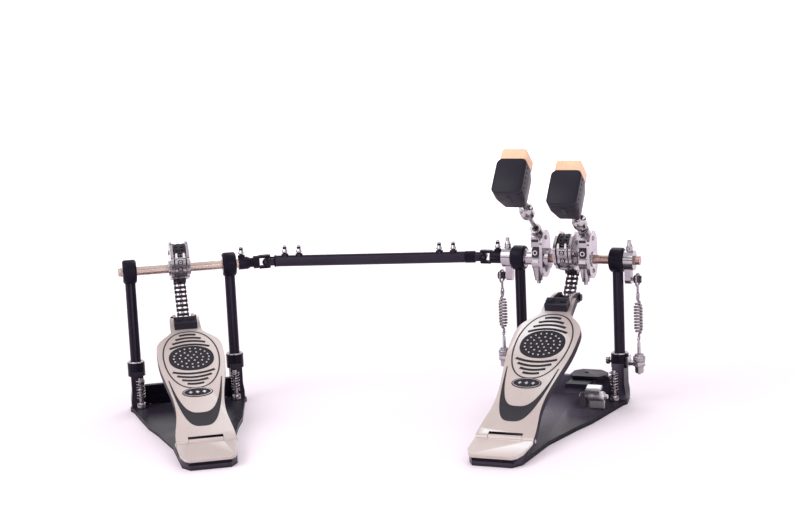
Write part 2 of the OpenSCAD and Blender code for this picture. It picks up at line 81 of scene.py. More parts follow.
SHAFT_Z = joint_at("master_cam_turn").z / MM
AT_SLAVE = placed_along_x(joint_at("slave_cam_turn").to_2d().to_3d(), joint_axis("slave_cam_turn"))
PEDALS = {"master": Matrix.Identity(4), "slave": AT_SLAVE}
AT_ROD = placed_along_x(joint_at("drive_tube_turn"), joint_axis("drive_tube_turn"))
ROD_LENGTH = (joint_at("master_end_turn") - joint_at("drive_tube_turn")).length / MM
HEEL_HINGE = joint_at("master_board_turn") / MM
HOOP_SCREW = joint_at("hoop_screw_turn") / MM

BOARD_SLOPES = {"master": 26.5, "slave": 22.4}
BEATER_LEAN = 51
BEATER_OFFSET = 21  # from the shaft's axis to the beater rod's
POST_X = 62
ON_BEATER = move(0, 0, SHAFT_Z) @ turn(BEATER_LEAN)
ALONG_X = turn(90, "Y")
SECTION_ALONG_X = turn(90, "Z") @ turn(90, "X")  # lays an outline in the YZ plane


def on_board(who):
    """The footboard's own place: X across, Y up the board from its hinge, Z out of its face."""
    return PEDALS[who] @ move(0, HEEL_HINGE.y, HEEL_HINGE.z) @ turn(BOARD_SLOPES[who])


# ---------------------------------------------------------------- materials


class Nodes:
    """A small helper for building a Principled material's node tree."""

    def __init__(self, name):
        self.material = bpy.data.materials.new(name)
        self.material.use_nodes = True
        self.tree = self.material.node_tree
        self.shader = self.tree.nodes["Principled BSDF"]
        self.place = self.add("ShaderNodeTexCoord").outputs["Object"]

    def add(self, kind, inputs=None, **settings):
        node = self.tree.nodes.new(kind)
        for key, value in settings.items():
            setattr(node, key, value)
        for key, value in (inputs or {}).items():
            self.feed(node.inputs[key], value)
        return node

    def feed(self, socket, value):
        if isinstance(value, bpy.types.NodeSocket):
            self.tree.links.new(value, socket)
        else:
            socket.default_value = value

    def set(self, **values):
        for key, value in values.items():
            self.feed(self.shader.inputs[key.replace("_", " ")], value)

    def noise(self, scale, detail=4, roughness=0.55, place=None):
        return self.add("ShaderNodeTexNoise", {"Vector": place or self.place, "Scale": scale,
                                               "Detail": detail, "Roughness": roughness}).outputs["Fac"]

    def stretched(self, x=1, y=1, z=1):
        return self.add("ShaderNodeMapping", {"Vector": self.place, "Scale": (x, y, z)}).outputs["Vector"]

    def mix(self, factor, a, b):
        node = self.add("ShaderNodeMix", data_type="RGBA")
        for index, value in ((0, factor), (6, a), (7, b)):
            self.feed(node.inputs[index], value)
        return node.outputs[2]

    def ramp(self, factor, low, high, dark=0.0, light=1.0):
        return self.add("ShaderNodeMapRange", {"Value": factor, "From Min": low, "From Max": high,
                                               "To Min": dark, "To Max": light}).outputs["Result"]

    def edges(self, low=0.53, high=0.62):
        return self.ramp(self.add("ShaderNodeNewGeometry").outputs["Pointiness"], low, high)

    def bump(self, height, strength, distance=0.0004, normal=None):
        inputs = {"Height": height, "Strength": strength, "Distance": distance}
        if normal:
            inputs["Normal"] = normal
        return self.add("ShaderNodeBump", inputs).outputs["Normal"]


def rgba(r, g, b):
    return (r, g, b, 1)


def painted_steel(name, colour, worn, roughness):
    """Powder-coated steel: fine orange peel, faint cloudiness and lighter worn edges."""
    n = Nodes(name)
    clouds = n.noise(18, 5)
    peel = n.noise(1400, 2)
    tone = n.mix(n.ramp(clouds, 0.35, 0.7), rgba(*colour), rgba(*[c * 1.4 + 0.001 for c in colour]))
    n.set(Base_Color=n.mix(n.edges(), tone, rgba(*worn)))
    n.set(Roughness=n.ramp(clouds, 0.3, 0.75, roughness - 0.06, roughness + 0.1))
    n.set(Normal=n.bump(peel, 0.12, 0.0002))
    n.shader.inputs["Specular IOR Level"].default_value = 0.09
    return n.material


def plated(name, colour, roughness, hollow_shade=0.35):
    """Chrome or nickel plate: faint waviness, smudges, and painted shade that darkens the hollows."""
    n = Nodes(name)
    smudge = n.noise(45, 6)
    fine = n.noise(700, 3)
    # Painted shade: hollows and creases take a darker colour, as if shaded.
    hollow_shade_mask = n.ramp(n.add("ShaderNodeNewGeometry").outputs["Pointiness"], 0.42, 0.5)
    dark = rgba(*[c * hollow_shade for c in colour])
    n.set(Base_Color=n.mix(hollow_shade_mask, dark, n.mix(n.ramp(smudge, 0.3, 0.8), rgba(*colour),
                                               rgba(*[c * 0.68 for c in colour]))))
    n.shader.inputs["Metallic"].default_value = 1.0
    n.set(Roughness=n.ramp(smudge, 0.3, 0.75, roughness, roughness + 0.12))
    n.set(Normal=n.bump(fine, 0.05, 0.0001))
    return n.material


def board_metal(name, colour, metallic=0.45):
    """Satin metallic finish of the footboard: fine sparkle, soft brushing, wear along the edges."""
    n = Nodes(name)
    grain = n.noise(900, 2)
    brushed = n.noise(60, 3, place=n.stretched(12, 1, 1))
    clouds = n.noise(9, 4)
    tone = n.mix(n.ramp(clouds, 0.3, 0.7), rgba(*colour), rgba(*[c * 0.88 for c in colour]))
    tone = n.mix(n.ramp(grain, 0.45, 0.8, 0, 0.5), tone, rgba(*[min(1, c * 1.25) for c in colour]))
    n.set(Base_Color=n.mix(n.edges(0.53, 0.6), tone, rgba(0.8, 0.77, 0.76)))
    n.shader.inputs["Metallic"].default_value = metallic
    n.set(Roughness=n.ramp(brushed, 0.3, 0.7, 0.4, 0.54))
    n.set(Normal=n.bump(grain, 0.1, 0.0002))
    return n.material


def turned_metal(name, colour, roughness):
    """A turned shaft: fine rings round its axis."""
    n = Nodes(name)
    rings = n.noise(300, 2, place=n.stretched(3, 0.1, 0.1))
    smudge = n.noise(35, 3)
    n.set(Base_Color=n.mix(n.ramp(smudge, 0.35, 0.7), rgba(*colour), rgba(*[c * 0.8 for c in colour])))
    n.shader.inputs["Metallic"].default_value = 0.9
    n.set(Roughness=n.ramp(rings, 0.3, 0.7, roughness, roughness + 0.12))
    n.set(Normal=n.bump(rings, 0.02, 0.0001))
    return n.material


def moulded(name, colour, roughness, grain_scale=900, grain=0.14):
    """Moulded plastic or rubber: fine texture, slight mottling, paler rubbed edges."""
    n = Nodes(name)
    texture = n.noise(grain_scale, 3)
    clouds = n.noise(22, 4)
    tone = n.mix(n.ramp(clouds, 0.3, 0.75), rgba(*colour), rgba(*[c * 1.5 + 0.002 for c in colour]))
    n.set(Base_Color=n.mix(n.edges(0.52, 0.62), tone, rgba(*[c * 3 + 0.03 for c in colour])))
    n.set(Roughness=n.ramp(clouds, 0.3, 0.7, roughness - 0.05, roughness + 0.08))
    n.shader.inputs["Specular IOR Level"].default_value = 0.15
    n.set(Normal=n.bump(texture, grain, 0.0002))
    return n.material


def pressed_felt(name, colour):
    """Pressed felt: matted fibres, pale fuzz on the surface and soft colour variation."""
    n = Nodes(name)
    fibres = n.noise(520, 6, 0.75)
    swirl = n.add("ShaderNodeTexNoise", {"Vector": n.place, "Scale": 160, "Detail": 5, "Distortion": 2.5})
    clouds = n.noise(40, 4)
    tone = n.mix(n.ramp(clouds, 0.3, 0.7), rgba(*colour), rgba(*[c * 0.86 for c in colour]))
    tone = n.mix(n.ramp(fibres, 0.5, 0.75, 0, 0.55), tone, rgba(1.0, 0.86, 0.7))
    n.set(Base_Color=tone)
    n.shader.inputs["Roughness"].default_value = 0.95
    n.shader.inputs["Sheen Weight"].default_value = 0.5
    n.shader.inputs["Sheen Roughness"].default_value = 0.5
    n.shader.inputs["Specular IOR Level"].default_value = 0.1
    n.set(Normal=n.bump(fibres, 0.6, 0.0005, n.bump(swirl.outputs["Fac"], 0.4, 0.0008)))
    return n.material


BLACK_STEEL = painted_steel("black_steel", (0.006, 0.0045, 0.011), (0.12, 0.10, 0.14), 0.3)
BOARD_SIDE = painted_steel("board_side", (0.012, 0.010, 0.016), (0.16, 0.14, 0.16), 0.4)
RUBBER = moulded("rubber", (0.009, 0.008, 0.011), 0.7, 600, 0.3)
BOARD = board_metal("board_metal", (0.56, 0.475, 0.45))
CHROME = plated("chrome", (0.58, 0.555, 0.58), 0.08, 0.2)
SATIN = plated("satin_chrome", (0.47, 0.44, 0.47), 0.17, 0.12)
CAST = plated("cast_metal", (0.76, 0.73, 0.76), 0.34, 0.3)
SPRING_STEEL = plated("spring_steel", (0.34, 0.31, 0.33), 0.14, 0.1)
CHAIN = plated("chain_steel", (0.06, 0.05, 0.06), 0.3, 0.4)
BRONZE = turned_metal("bronze", (0.44, 0.30, 0.265), 0.2)
CHAMPAGNE = turned_metal("champagne", (0.62, 0.50, 0.44), 0.22)
PLASTIC = moulded("black_plastic", (0.008, 0.0065, 0.013), 0.36)
INLAY = moulded("inlay_rubber", (0.006, 0.005, 0.008), 0.55, 700, 0.2)
STUD = moulded("stud_rubber", (0.30, 0.27, 0.29), 0.45)
FELT = pressed_felt("felt", (0.98, 0.60, 0.39))

# ---------------------------------------------------------------- mesh helpers


def ring(radius, sides, z=0.0):
    angles = [2 * math.pi * i / sides for i in range(sides)]
    return [Vector((radius * math.cos(a), radius * math.sin(a), z)) for a in angles]


class Shape:
    """Gathers solids, in millimetres, into one mesh."""

    def __init__(self):
        self.bm = bmesh.new()

    def loft(self, rings, place=Matrix.Identity(4), closed=False):
        """Joins rings of equal size; ends are capped unless the loft closes on itself."""
        rows = [[self.bm.verts.new(place @ (p * MM)) for p in points] for points in rings]
        size = len(rows[0])
        pairs = list(zip(rows, rows[1:])) + ([(rows[-1], rows[0])] if closed else [])
        for a, b in pairs:
            for i in range(size):
                j = (i + 1) % size
                self.bm.faces.new((a[i], a[j], b[j], b[i]))
        if not closed:
            self.bm.faces.new(list(reversed(rows[0])))
            self.bm.faces.new(rows[-1])
        return self

    def lathe(self, profile, place=Matrix.Identity(4), sides=48):
        """Revolves a profile of (radius, z) about Z and caps its ends."""
        return self.loft([ring(r, sides, z) for r, z in profile], place)

    def washer(self, r_in, r_out, z0, z1, place=Matrix.Identity(4), sides=48, chamfer=0.3):
        c = min(chamfer, (z1 - z0) / 3, (r_out - r_in) / 3)
        profile = [(r_in, z0 + c), (r_in + c, z0), (r_out - c, z0), (r_out, z0 + c),
                   (r_out, z1 - c), (r_out - c, z1), (r_in + c, z1), (r_in, z1 - c)]
        return self.loft([ring(r, sides, z) for r, z in profile], place, closed=True)

    def prism(self, outline, z0, z1, place=Matrix.Identity(4)):
        """Extrudes an outline of (x, y) points."""
        return self.loft([[Vector((x, y, z)) for x, y in outline] for z in (z0, z1)], place)

    def block(self, low, high, place=Matrix.Identity(4)):
        (x0, y0, z0), (x1, y1, z1) = low, high
        return self.prism([(x0, y0), (x1, y0), (x1, y1), (x0, y1)], z0, z1, place)

    def wire(self, path, radius, place=Matrix.Identity(4), sides=10, closed=False):
        """A round wire along a path of points; radius may be a list with one value for each point."""
        count = len(path)
        radii = radius if isinstance(radius, list) else [radius] * count
        rings = []
        side = None
        for i, p in enumerate(path):
            ahead = path[(i + 1) % count] if closed or i + 1 < count else p
            behind = path[i - 1] if closed or i > 0 else p
            along = (ahead - behind).normalized()
            if side is None:
                side = along.orthogonal().normalized()
            side = (side - along * side.dot(along)).normalized()
            other = along.cross(side)
            rings.append([p + radii[i] * (side * math.cos(a) + other * math.sin(a))
                          for a in (2 * math.pi * k / sides for k in range(sides))])
        return self.loft(rings, place, closed)

    def mesh(self, name):
        bmesh.ops.recalc_face_normals(self.bm, faces=self.bm.faces)
        mesh = bpy.data.meshes.new(name)
        self.bm.to_mesh(mesh)
        self.bm.free()
        return mesh

    def piece(self, name, body, material, slot, replaces=(), bevel=0.0, smooth=40):
        """Turns the shape into a Blender piece that rides on a body."""
        settle(name, self.mesh(name), body, material, replaces, bevel, smooth=smooth)


def link(name, mesh, material):
    """Puts a smooth-shaded mesh with one material into the scene."""
    thing = bpy.data.objects.new(name, mesh)
    bpy.context.scene.collection.objects.link(thing)
    mesh.materials.clear()
    mesh.materials.append(material)
    mesh.polygons.foreach_set("use_smooth", [True] * len(mesh.polygons))
    return thing


def settle(name, mesh, body, material, replaces=(), bevel=0.0, segments=2, smooth=40):
    """Puts a piece into the scene, on its body: smooth in degrees, bevel in millimetres."""
    thing = link(name, mesh, material)
    mesh.set_sharp_from_angle(angle=math.radians(smooth))
    if bevel:
        modifier = thing.modifiers.new("rounded_edges", "BEVEL")
        modifier.width = bevel * MM
        modifier.segments = segments
        modifier.limit_method = "ANGLE"
        modifier.angle_limit = math.radians(35)
        modifier.harden_normals = True
    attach(thing, body)
    if replaces:
        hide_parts(*replaces)
    return thing


def rounded(node, body, material, bevel, segments=2):
    """A copy of a CAD node with clean faces and rounded edges, which stands for it."""
    bm = bmesh.new()
    bm.from_mesh(frame["nodes"][node].data)
    bmesh.ops.remove_doubles(bm, verts=bm.verts, dist=1e-6)
    bmesh.ops.dissolve_limit(bm, angle_limit=math.radians(1), verts=bm.verts, edges=bm.edges)
    mesh = bpy.data.meshes.new(node + "_shape")
    bm.to_mesh(mesh)
    bm.free()
    return settle(node + "_shape", mesh, body, material, [node], bevel, segments)


def helix(radius, z0, z1, turns, steps=20, taper=None):
    """Points of a coil about Z. taper gives the radius's share at a height share from 0 to 1."""
    count = int(turns * steps) + 1
    points = []
    for i in range(count):
        t = i / (count - 1)
        a = 2 * math.pi * turns * t
        r = radius * (taper(t) if taper else 1)
        points.append(Vector((r * math.cos(a), r * math.sin(a), z0 + (z1 - z0) * t)))
    return points


def arc(radius, a0, a1, steps=12, centre=(0, 0)):
    """Points (x, y) on an arc from angle a0 to a1, in degrees."""
    angles = [math.radians(a0 + (a1 - a0) * i / steps) for i in range(steps + 1)]
    return [(centre[0] + radius * math.cos(a), centre[1] + radius * math.sin(a)) for a in angles]


def level(outline, z):
    """An outline of (x, y) points at one height."""
    return [Vector((x, y, z)) for x, y in outline]


def rounded_box(w, h, r, steps=5):
    """Outline of a rectangle with round corners, centred on 0."""
    points = []
    for cx, cy, a in ((1, 1, 0), (-1, 1, 90), (-1, -1, 180), (1, -1, 270)):
        points += arc(r, a, a + 90, steps, (cx * (w / 2 - r), cy * (h / 2 - r)))
    return points


def band(path, width):
    """Outline of a flat band along a path of (x, y) points; width may be a list."""
    count = len(path)
    widths = width if isinstance(width, list) else [width] * count
    left, right = [], []
    for i in range(count):
        ahead, behind = Vector(path[min(i + 1, count - 1)]), Vector(path[max(i - 1, 0)])
        across = (ahead - behind).normalized().orthogonal() * widths[i] / 2
        left.append(tuple(Vector(path[i]) + across))
        right.append(tuple(Vector(path[i]) - across))
    return left + right[::-1]


def key_bolt(shape, place, height):
    """A drum-key bolt: square head on a cone with a flange under it."""
    shape.lathe([(2.0, 0), (2.0, height - 8.8), (4.0, height - 8.4), (4.2, height - 7.6),
                 (3.4, height - 7.0), (2.4, height - 3.8), (1.9, height - 3.4)], place, 24)
    shape.prism(rounded_box(3.7, 3.7, 0.5, 3), height - 3.6, height, place @ turn(20, "Z"))


def knurled(shape, radius, z0, z1, place, teeth=36, depth=0.35):
    """A knurled nut: its rim has fine teeth."""
    outline = []
    for i in range(teeth * 2):
        r = radius - (depth if i % 2 else 0)
        a = math.pi * i / teeth
        outline.append((r * math.cos(a), r * math.sin(a)))
    inner = [(x * 0.9, y * 0.9) for x, y in outline]
    stack = ((inner, z0), (outline, z0 + 0.8), (outline, z1 - 0.8), (inner, z1))
    shape.loft([level(o, z) for o, z in stack], place)


# ---------------------------------------------------------------- parts of each pedal

# Places on the footboard are distances up the board from its hinge.
BOARD_TOP = 5.0
INLAY_LIFT = 0.35
GRIP_AT = 160
BADGE_AT = 90
NECK_AT = 220


def ellipse(cy, rx, ry, steps=48, power=1.0):
    """Outline of an ellipse centred at (0, cy). A power under 1 makes it squarer."""
    points = []
    for i in range(steps):
        c, s = math.cos(2 * math.pi * i / steps), math.sin(2 * math.pi * i / steps)
        points.append((rx * math.copysign(abs(c) ** power, c),
                       cy + ry * math.copysign(abs(s) ** power, s)))
    return points


def loop_band(outline, width):
    """Outer and inner outlines of a line of some width that follows a closed outline."""
    count = len(outline)
    inner = []
    for i, p in enumerate(outline):
        along = (Vector(outline[(i + 1) % count]) - Vector(outline[i - 1])).normalized()
        inner.append(tuple(Vector(p) + along.orthogonal() * width))
    return outline, inner


def board_half(s):
    """Half width of the footboard. Up to the neck it stays wide for longer, by the power given."""
    stations = [(-2, 34, 1), (56, 28.5, 1), (165, 40, 1), (NECK_AT, 18.5, 2.3), (249, 18, 1)]
    for (s0, w0, _), (s1, w1, power) in zip(stations, stations[1:]):
        if s <= s1:
            t = max(0, (s - s0) / (s1 - s0)) ** power
            return w0 + (w1 - w0) * (1 - math.cos(math.pi * t)) / 2
    return stations[-1][1]


def grip_pad(who, body, at, low, high):
    """The dark oval pad and its rings of raised studs."""
    Shape().prism(ellipse(GRIP_AT, 27, 25.5, power=0.9), low, high, at).piece(
        who + "_grip_pad", body, INLAY, "black_plastic", bevel=0.3)
    studs = Shape()
    profile = [(1.05, high - 0.2), (1.05, high + 0.3), (0.8, high + 0.6), (0.4, high + 0.7)]
    for count, rx, ry in ((1, 0, 0), (6, 7, 6.5), (12, 14, 13), (20, 21, 19.5)):
        for x, y in ellipse(GRIP_AT, rx, ry, count):
            studs.lathe(profile, at @ move(x, y), 10)
    studs.piece(who + "_grip_studs", body, STUD, "rubber")


def board_arcs(who, body, at, low, high):
    """The bowed bars above and below the pad: place on the board, half length and sag of each."""
    arcs = Shape()
    for s, half, sag in ((210, 10, 1.6), (203, 15.5, 3), (196, 20, 4.5), (188.5, 24, 6.5),
                         (128, 25, -5.5), (120.5, 20.5, -4.5), (113.5, 15.5, -3), (107, 10, -1.6)):
        path = [(half * t / 8, s - sag * (t / 8) ** 2) for t in range(-8, 9)]
        arcs.prism(band(path, 3.7), low, high, at)
    arcs.piece(who + "_board_arcs", body, INLAY, "black_plastic", bevel=0.25)


def board_line(who, body, at, low, high):
    """The thin ring round pad and arcs. It keeps its distance from the board's edge."""
    middle, up, down, half = 163, 54, 65, 34
    outline = []
    for i in range(96):
        a = 2 * math.pi * i / 96
        s = middle + (up if math.sin(a) > 0 else down) * math.sin(a)
        reach = half * abs(math.cos(a)) ** 0.85
        outline.append((math.copysign(min(reach, board_half(s) - 3.5), math.cos(a)), s))
    outer, inner = loop_band(outline, 1.8)
    line = Shape()
    line.loft([level(outer, low), level(outer, high - 0.15), level(inner, high - 0.15), level(inner, low)],
              at, closed=True)
    line.piece(who + "_board_line", body, INLAY, "black_plastic")


def board_swoosh(who, body, at, low, high):
    """The dark V that widens towards the heel."""
    sweep = [i / 24 for i in range(-24, 25)]
    outer = [(31.6 * math.copysign(abs(t) ** 0.6, t), 24.5 + 93 * abs(t) ** 1.9) for t in sweep]
    inner = [(30.4 * math.copysign(abs(t) ** 0.68, t), 50 + 67 * abs(t) ** 2.1) for t in sweep]
    Shape().prism(outer + inner[::-1], low, high, at).piece(
        who + "_board_swoosh", body, INLAY, "black_plastic")


def badge(who, body, at, low, high):
    """A plain oval badge: a bright rim and three small diamonds."""
    Shape().prism(ellipse(BADGE_AT, 18, 9.5), low, high, at).piece(
        who + "_badge", body, INLAY, "black_plastic", bevel=0.3)
    top = high + 0.15
    rim, rim_in = loop_band(ellipse(BADGE_AT, 16.6, 8.2), 0.9)
    trim = Shape()
    trim.loft([level(rim, low), level(rim, top), level(rim_in, top), level(rim_in, low)], at, closed=True)
    for x in (-8, 0, 8):
        diamond = [(x - 2.4, BADGE_AT), (x, BADGE_AT - 2.6), (x + 2.4, BADGE_AT), (x, BADGE_AT + 2.6)]
        trim.prism(diamond, low, top, at)
    trim.piece(who + "_badge_trim", body, CHROME, "chrome")


def board_inlays(who):
    """Everything let into the footboard's face."""
    for inlay in (grip_pad, board_arcs, board_line, board_swoosh, badge):
        inlay(who, who + "_board", on_board(who), BOARD_TOP - 0.3, BOARD_TOP + INLAY_LIFT)


BASE_BODIES = {"master": "root", "slave": "slave_base"}
SOCKET_TOP = 61
BEARING_HALF = 8.3
DECK_Z = 5.5


def base_and_frame(who, place):
    body = BASE_BODIES[who]
    rounded(who + "_base_plate", body, BLACK_STEEL, 0.8)
    rounded(who + "_base_rubber", body, RUBBER, 0.6)
    rounded(who + "_frame", body, BLACK_STEEL, 1.2, 3)
    rounded(who + "_posts", body, BLACK_STEEL, 0.3)
    rounded(who + "_bearing_housings", body, BLACK_STEEL, 0.4)
    rounded(who + "_heel_plate", body, BOARD, 1.2, 3)
    rounded(who + "_heel_pin", body, CHROME, 0.5)
    bearings = frame["nodes"][who + "_bearings"].data.materials
    bearings.clear()
    bearings.append(CHROME)

    trim = Shape()
    for side in (-1, 1):
        sleeve = place @ move(side * POST_X)
        trim.washer(6.6, 9.6, SOCKET_TOP - 0.2, SOCKET_TOP + 1.6, sleeve)
        if who == "master":
            knob = sleeve @ move(side * -10.4, -1, 52) @ turn(side * -90, "Y")
            trim.lathe([(3.0, -0.5), (3.0, 1.4), (4.6, 2.2), (4.8, 5.2), (3.9, 6.2), (2.0, 6.2),
                        (2.0, 5.2)], knob, 28)
        for y in (2, 14):
            trim.washer(1.4, 2.6, DECK_Z - 0.1, DECK_Z + 0.6, sleeve @ move(side * -14, y), 20)
    trim.piece(who + "_frame_screws", body, CHROME, "chrome")

    caps = Shape()
    for side in (-1, 1):
        outer_end = place @ move(side * (POST_X + BEARING_HALF), 0, SHAFT_Z) @ turn(side * 90, "Y")
        inner_end = place @ move(side * (POST_X - BEARING_HALF), 0, SHAFT_Z) @ turn(-side * 90, "Y")
        caps.washer(6.4, 11.2, -0.6, 0.5, outer_end)
        caps.washer(6.4, 11.2, -0.6, 0.4, inner_end)
    caps.piece(who + "_bearing_shields", body, SATIN, "chrome")


def spurs(who, place):
    """Threaded floor spurs with anti-rattle springs."""
    parts = Shape()
    for side in (-1, 1):
        at = place @ move(side * (POST_X - 3), -18, DECK_Z)
        parts.lathe([(5.9, 0), (6, 0.4), (6, 7), (5.2, 8), (3.3, 8.4), (3.3, 9)], at, 32)
        parts.lathe([(2.9, 8), (2.9, 37.6), (2.2, 38.6), (1.4, 38.6)], at, 24)
        parts.wire(helix(2.95, 9, 37, 22, 14), 0.33, at, 5)
        parts.wire(helix(4.75, 12, 34.5, 6.5, 20), 0.95, at, 8)
        parts.washer(3.1, 5.6, 34.6, 36, at, 28)
    parts.piece(who + "_spur_set", BASE_BODIES[who], SPRING_STEEL, "chrome", [who + "_spurs"])


def footboard(who):
    """The board, bright on top and dark on its sides and underneath, and its toe clamp."""
    body = who + "_board"
    board = rounded(who + "_footboard", body, BOARD, 0.9, 3)
    board.data.materials.append(BOARD_SIDE)
    out = on_board(who).to_3x3() @ Z_AXIS
    for face in board.data.polygons:
        face.material_index = 0 if face.normal.dot(out) > 0.5 else 1
    rounded(who + "_toe_clamp", body, PLASTIC, 1.4, 3)


# ---------------------------------------------------------------- chain

PITCH = 6.35
CHAIN_HALF = 7.3
FREE_LINKS = {"master": 6, "slave": 9}
# Pins on the sprocket are counted in pitches from where the chain leaves it.
FIRST_PINS = {"upper": 6, "middle": 4, "lower": 2}
LAST_PIN = 13
OUTER_PLATES = ((-7.3, -6.3), (-0.5, 0.5), (6.3, 7.3))
INNER_PLATES = ((-6.1, -5.1), (-1.8, -0.8), (0.8, 1.8), (5.1, 6.1))
ROLLERS = ((-5.0, -1.9), (1.9, 5.0))


def chain_links(shape, pins, place, first_outer):
    """Duplex links between pins given as (y, z), with plates that swap sides at each link."""
    for i, (a, b) in enumerate(zip(pins, pins[1:])):
        start, end = Vector((0, a[0], a[1])), Vector((0, b[0], b[1]))
        along = end - start
        length = along.length
        at = place @ move(*start) @ turn(math.degrees(math.atan2(along.z, along.y)))
        plate = (arc(2.35, 90, 270, 8) + [(length * 0.35, -1.75), (length * 0.65, -1.75)]
                 + arc(2.35, -90, 90, 8, (length, 0)) + [(length * 0.65, 1.75), (length * 0.35, 1.75)])
        outer = (i % 2 == 0) == first_outer
        for x0, x1 in OUTER_PLATES if outer else INNER_PLATES:
            shape.prism(plate, x0, x1, at @ SECTION_ALONG_X)
        for x0, x1 in ROLLERS:
            shape.lathe([(1.7, x0), (1.7, x1)], at @ ALONG_X, 12)
        shape.lathe([(0.9, -CHAIN_HALF - 0.35), (1.15, -CHAIN_HALF), (1.15, CHAIN_HALF),
                     (0.9, CHAIN_HALF + 0.35)], at @ ALONG_X, 12)


def chain_piece(shape, who, stretch, links_of, body):
    shape.piece(f"{who}_chain_{stretch}_links", body, CHAIN, "chain_steel", [links_of], smooth=35)


def pin_in_pedal(who, place, stretch):
    """Where a stretch's first pin is, as (y, z) in the pedal's own place."""
    p = place.inverted() @ joint_at(f"{who}_chain_{stretch}_turn") / MM
    return Vector((p.y, p.z))


def chains(who, place):
    """Single links on the four moving stretches and the stretch that stays on the sprocket."""
    radius = (pin_in_pedal(who, place, "upper") - Vector((0, SHAFT_Z))).length
    leaving = pin_in_pedal(who, place, "free")
    leave = math.degrees(math.atan2(leaving.x, SHAFT_Z - leaving.y))
    step = 2 * math.degrees(math.asin(PITCH / 2 / radius))

    def wrapped(k):
        a = math.radians(leave + k * step)
        return (radius * math.sin(a), SHAFT_Z - radius * math.cos(a))

    for stretch, first in FIRST_PINS.items():
        shape = Shape()
        chain_links(shape, [wrapped(first - i) for i in range(3)], place, True)
        chain_piece(shape, who, stretch, f"{who}_chain_{stretch}", f"{who}_chain_{stretch}_link")
    wrap = Shape()
    chain_links(wrap, [wrapped(k) for k in range(LAST_PIN, FIRST_PINS["upper"] - 1, -1)], place, False)
    chain_piece(wrap, who, "wrap", who + "_chain_wrap", who + "_cam")

    top = wrapped(0)
    down = (-math.cos(math.radians(leave)), -math.sin(math.radians(leave)))
    hanging = [(top[0] + down[0] * PITCH * i, top[1] + down[1] * PITCH * i)
               for i in range(FREE_LINKS[who] + 1)]
    free = Shape()
    chain_links(free, hanging, place, True)
    foot = place @ move(0, *hanging[-1]) @ ALONG_X
    free.lathe([(1.6, -16.4), (1.98, -16), (1.98, 16), (1.6, 16.4)], foot, 24)
    for flip in (0, 180):
        end = foot @ turn(flip, "Y")
        free.washer(2.0, 4.3, 13.7, 16.1, end, 32)
        free.washer(2.0, 3.1, 7.6, 9.6, end, 24)
    chain_piece(free, who, "free", who + "_chain_free", who + "_chain_free_link")


# ---------------------------------------------------------------- cams

FLANGE_FACE = 11.5


def cam(who, place):
    """Sprocket and shaft, with the screws and prongs of the block that holds the chain's end. Dark patches
    under the block's two screws are painted shade, standing in for the shadowed pockets they sit in.
    """
    body = who + "_cam"
    rounded(who + "_sprocket", body, SATIN, 0.5)
    rounded(who + "_shaft", body, BRONZE if who == "master" else CHAMPAGNE, 0.4)
    screws = Shape()
    shade_patches = Shape()
    for angle, radius, lean in ((246, 28.2, 28), (266, 22.5, 17)):
        at = place @ move(0, 0, SHAFT_Z) @ turn(angle - 180) @ move(0, 0, radius) @ turn(lean)
        screws.lathe([(2.3, -0.5), (2.3, 0.9), (1.8, 1.5), (1.1, 1.5), (1.1, 0.5)], at, 20)
        # Painted shade: a dark patch where the screw's pocket lies in shadow.
        shade_patches.prism(rounded_box(6.4, 5.4, 1.4, 4), -0.6, 0.8, at)
    for x in (-4.6, 4.6):
        at = place @ move(x, 0, SHAFT_Z) @ turn(52) @ move(0, 0, 31) @ turn(22)
        screws.prism([(-1.5, -2.6), (1.5, -2.6), (1.1, 3.4), (-1.1, 3.4)], -2, 0.9, at)
    shade_patches.piece(who + "_cam_pockets", body, INLAY, "black_plastic")
    for side in (-1, 1):
        face = place @ move(side * FLANGE_FACE, 0, SHAFT_Z)
        for angle in (-80, -10, 60):
            at = face @ turn(angle) @ move(0, 0, 20) @ turn(side * 90, "Y")
            screws.lathe([(2.6, -0.3), (2.6, 1.0), (2.1, 1.5), (1.3, 1.5), (1.3, 0.6)], at, 20)
        screws.washer(5.6, 9, 0, 2.2, face @ turn(side * 90, "Y"), 36)
    screws.piece(who + "_cam_screws", body, CHROME, "chrome")


# ---------------------------------------------------------------- hubs and beaters

HUBS = {"right": 24.2, "left": -35.5}
HUB_HALF = 7.2
HUB_FRONT = -14.6
CLAMP_Z = SHAFT_Z + 8.8
TOPS = {"right": 132, "left": 157}
COLLARS = {"right": 53, "left": 76}
HEAD_W, HEAD_BACK, HEAD_FRONT, HEAD_H, FELT_T = 37, 22, 25, 40, 15
HEAD_DEPTH = HEAD_BACK + HEAD_FRONT


